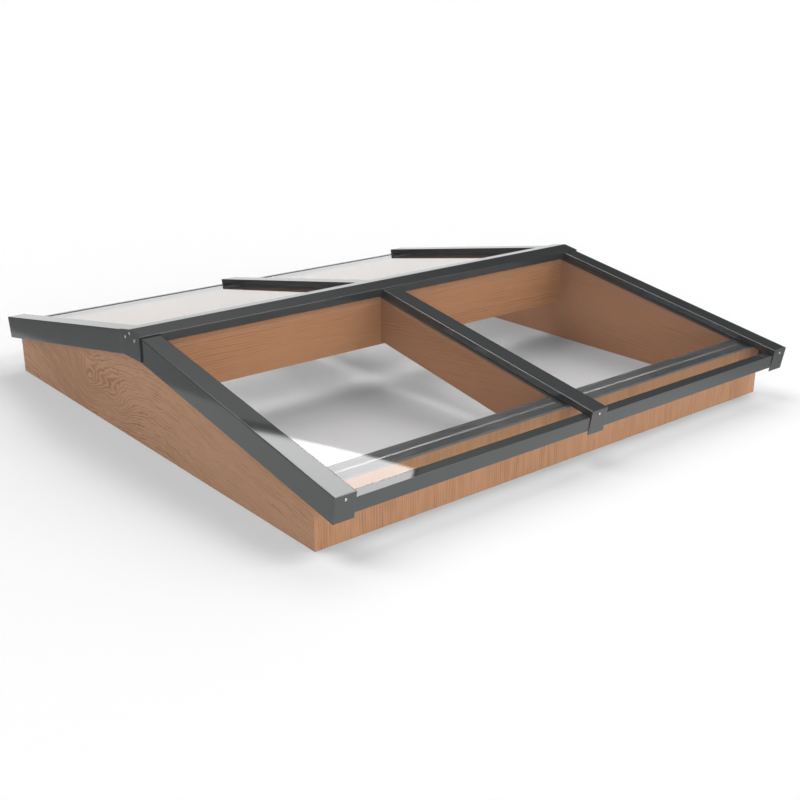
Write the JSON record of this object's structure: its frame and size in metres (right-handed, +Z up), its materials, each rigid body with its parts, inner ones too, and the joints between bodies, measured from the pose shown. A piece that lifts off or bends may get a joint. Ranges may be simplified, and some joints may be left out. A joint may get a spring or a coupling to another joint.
{
  "type": "roof lantern",
  "caption": "Gable-ended roof lantern: a low timber upstand with ridge beam and rafters, sloping glass panes held by dark aluminium glazing bars, a ridge cap and eaves caps.",
  "frame": {"origin": "centre of the underside of the timber upstand, on the level it stands on", "axes": "+X along the ridge, -Y towards the front eaves, +Z up"},
  "size_m": [1.75, 1.885, 0.3405],
  "materials": {
    "timber": "warm reddish brown timber, oiled",
    "cap_metal": "anthracite grey powder coat, satin",
    "bar_base": "dark grey bar base with gaskets, satin",
    "glass": "clear polished sheet glass"
  },
  "bodies": {
    "root": {"back_eaves_board": "timber", "back_left_bar_base": "bar_base", "back_left_bar_cap": "cap_metal", "back_left_eaves_bar": "bar_base", "back_left_eaves_cap": "cap_metal", "back_left_end_plate": "cap_metal", "back_left_pane": "glass", "back_mid_bar_base": "bar_base", "back_mid_bar_cap": "cap_metal", "back_mid_end_plate": "cap_metal", "back_rafter": "timber", "back_right_bar_base": "bar_base", "back_right_bar_cap": "cap_metal", "back_right_eaves_bar": "bar_base", "back_right_eaves_cap": "cap_metal", "back_right_end_plate": "cap_metal", "back_right_pane": "glass", "front_eaves_board": "timber", "front_left_bar_base": "bar_base", "front_left_bar_cap": "cap_metal", "front_left_eaves_bar": "bar_base", "front_left_eaves_cap": "cap_metal", "front_left_end_plate": "cap_metal", "front_left_pane": "glass", "front_mid_bar_base": "bar_base", "front_mid_bar_cap": "cap_metal", "front_mid_end_plate": "cap_metal", "front_rafter": "timber", "front_right_bar_base": "bar_base", "front_right_bar_cap": "cap_metal", "front_right_eaves_bar": "bar_base", "front_right_eaves_cap": "cap_metal", "front_right_end_plate": "cap_metal", "front_right_pane": "glass", "left_gable_board": "timber", "left_ridge_base": "bar_base", "left_ridge_plate": "cap_metal", "ridge_beam": "timber", "ridge_cap": "cap_metal", "right_gable_board": "timber", "right_ridge_base": "bar_base", "right_ridge_plate": "cap_metal"}
  },
  "joints": []
}
